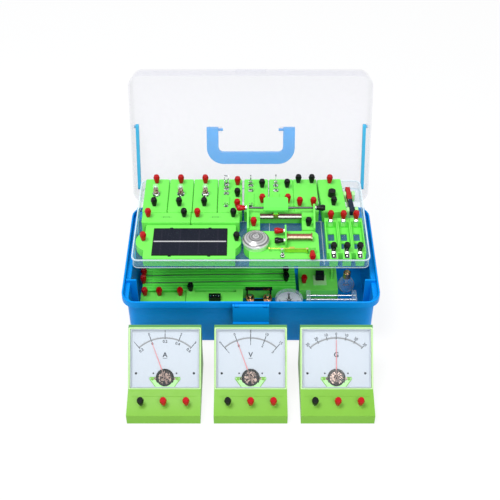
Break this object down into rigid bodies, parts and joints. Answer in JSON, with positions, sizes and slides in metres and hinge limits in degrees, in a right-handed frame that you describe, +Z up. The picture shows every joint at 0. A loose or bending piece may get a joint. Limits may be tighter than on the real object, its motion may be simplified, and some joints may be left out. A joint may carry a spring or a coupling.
{
  "type": "electricity and magnetism kit",
  "caption": "School electricity kit: a blue case with a raised clear lid, a lift-out tray of small green circuit units, more apparatus in the case and desk meters in front.",
  "frame": {"origin": "centre of the underside of the case", "axes": "+X to the right, +Y to the back, +Z up"},
  "size_m": [0.35, 0.4391, 0.2714],
  "materials": {
    "case_blue": "smooth moulded blue plastic",
    "light_blue": "light blue plastic",
    "clear": "clear moulded plastic",
    "unit_green": "bright green plastic",
    "meter_green": "green plastic",
    "red_plastic": "red plastic",
    "black_plastic": "black plastic",
    "white_card": "printed white card",
    "red_pointer": "painted",
    "brass": "plain",
    "steel": "bright nickel plate",
    "copper": "enamelled copper wire",
    "solar": "glazed solar cell",
    "magnet": "painted red and blue by halves",
    "grey_block": "dark moulding"
  },
  "bodies": {
    "base": {"case_base": "case_blue", "hinge_pins": "steel", "wire_board": "unit_green", "board_wires": "steel", "case_unit_bases": "unit_green", "coil_former": "black_plastic", "coil_core": "steel", "coil_windings": "copper", "compass_case": "clear", "compass_dial": "white_card", "magnet_plate": "unit_green", "magnet_block": "grey_block", "rail_stand": "clear", "rail_bars": "steel", "bulb_glass": "clear", "bulb_cap": "copper", "meter_cases": "meter_green", "meter_covers": "clear", "meter_dials": "white_card", "meter_movements": "grey_block", "base_red_knobs": "red_plastic", "base_black_knobs": "black_plastic", "base_studs": "steel"},
    "tray": {"tray_shell": "clear", "unit_bases": "unit_green", "lamp_sockets": "grey_block", "lamp_bulbs": "clear", "switch_clips": "steel", "magnet_cradle": "unit_green", "bar_magnet": "magnet", "resistor_blocks": "unit_green", "rheostat_frame": "unit_green", "rheostat_rod": "steel", "rheostat_tube": "steel", "solar_frame": "unit_green", "solar_panel": "solar", "bell_base": "unit_green", "bell_gong": "steel", "bell_coil": "copper", "cell_holders": "unit_green", "cell_contacts": "steel", "tray_red_knobs": "red_plastic", "tray_black_knobs": "black_plastic", "tray_studs": "steel"},
    "lid": {"lid_shell": "clear"},
    "handle": {"lid_handle": "light_blue"},
    "link_bars": {"link_bars": "light_blue"},
    "rear_arms": {"rear_arms": "light_blue"},
    "front_arms": {"front_arms": "light_blue"},
    "latch": {"latch_flap": "light_blue"},
    "compass_needle": {"compass_needle": "red_pointer"},
    "ammeter_needle": {"ammeter_needle": "red_pointer"},
    "voltmeter_needle": {"voltmeter_needle": "red_pointer"},
    "galvanometer_needle": {"galvanometer_needle": "red_pointer"},
    "double_blade": {"double_blade": "steel"},
    "blade_a": {"blade_a": "steel"},
    "blade_b": {"blade_b": "steel"},
    "rotary_knob": {"rotary_knob": "black_plastic"},
    "slider": {"rheostat_slider": "unit_green"},
    "bell_armature": {"bell_armature": "brass"}
  },
  "joints": [
    {"name": "lid_hinge", "type": "hinge", "parent": "base", "child": "lid", "pos_m": [0, 0.102, 0.087], "axis": [1, 0, 0], "range_deg": [0, 110]},
    {"name": "rear_arm_swing", "type": "hinge", "parent": "base", "child": "rear_arms", "pos_m": [0, 0.05311, 0.07184], "axis": [1, 0, 0], "range_deg": [0, 86.7]},
    {"name": "tray_level", "type": "hinge", "parent": "rear_arms", "child": "tray", "pos_m": [0, 0.07, 0.1025], "axis": [1, 0, 0], "range_deg": [-86.7, 0]},
    {"name": "front_arm_swing", "type": "hinge", "parent": "base", "child": "front_arms", "pos_m": [0, 0.00311, 0.07184], "axis": [1, 0, 0], "range_deg": [0, 86.7]},
    {"name": "link_bar_swing", "type": "hinge", "parent": "lid", "child": "link_bars", "pos_m": [0, 0.16166, 0.1866], "axis": [1, 0, 0], "range_deg": [-7.9, 0]},
    {"name": "handle_swing", "type": "hinge", "parent": "lid", "child": "handle", "pos_m": [0, 0.18028, 0.16759], "axis": [1, 0, 0], "range_deg": [0, 180]},
    {"name": "latch_swing", "type": "hinge", "parent": "base", "child": "latch", "pos_m": [0, -0.1022, 0.083], "axis": [-1, 0, 0], "range_deg": [0, 175]},
    {"name": "blade_a_swing", "type": "hinge", "parent": "tray", "child": "blade_a", "pos_m": [0, 0.112, 0.1224], "axis": [1, 0, 0], "range_deg": [0, 90]},
    {"name": "blade_b_swing", "type": "hinge", "parent": "tray", "child": "blade_b", "pos_m": [0.0368, 0.112, 0.1224], "axis": [1, 0, 0], "range_deg": [0, 90]},
    {"name": "double_blade_swing", "type": "hinge", "parent": "tray", "child": "double_blade", "pos_m": [-0.0357, 0.104, 0.1224], "axis": [1, 0, 0], "range_deg": [-60, 120]},
    {"name": "slider_travel", "type": "slide", "parent": "tray", "child": "slider", "axis": [1, 0, 0], "range_m": [-0.018, 0.031]},
    {"name": "rotary_knob_turn", "type": "hinge", "parent": "tray", "child": "rotary_knob", "pos_m": [0.1183, 0.089, 0.1156], "axis": [0, 0, 1], "range_deg": [-135, 135]},
    {"name": "bell_armature_swing", "type": "hinge", "parent": "tray", "child": "bell_armature", "pos_m": [0.077, -0.029, 0.1161], "axis": [0, 0, -1], "range_deg": [-2, 5], "stiffness_Nm_per_rad": 0.02},
    {"name": "compass_spin", "type": "hinge", "parent": "base", "child": "compass_needle", "pos_m": [0.0549, -0.0326, 0.0215], "axis": [0, 0, 1], "continuous": true},
    {"name": "ammeter_swing", "type": "hinge", "parent": "base", "child": "ammeter_needle", "pos_m": [-0.1128, -0.18374, 0.03142], "axis": [0, -0.6921, 0.7218], "range_deg": [-65, 24]},
    {"name": "voltmeter_swing", "type": "hinge", "parent": "base", "child": "voltmeter_needle", "pos_m": [-0.0002, -0.18374, 0.03142], "axis": [0, -0.6921, 0.7218], "range_deg": [-65, 24]},
    {"name": "galvanometer_swing", "type": "hinge", "parent": "base", "child": "galvanometer_needle", "pos_m": [0.1124, -0.18374, 0.03142], "axis": [0, -0.6921, 0.7218], "range_deg": [-45, 45]}
  ],
  "couplings": [
    {"joint": "rear_arm_swing", "follows": "lid_hinge", "ratio": 0.7876},
    {"joint": "front_arm_swing", "follows": "lid_hinge", "ratio": 0.7876},
    {"joint": "tray_level", "follows": "lid_hinge", "ratio": -0.7876},
    {"joint": "link_bar_swing", "follows": "lid_hinge", "ratio": -0.07087}
  ]
}
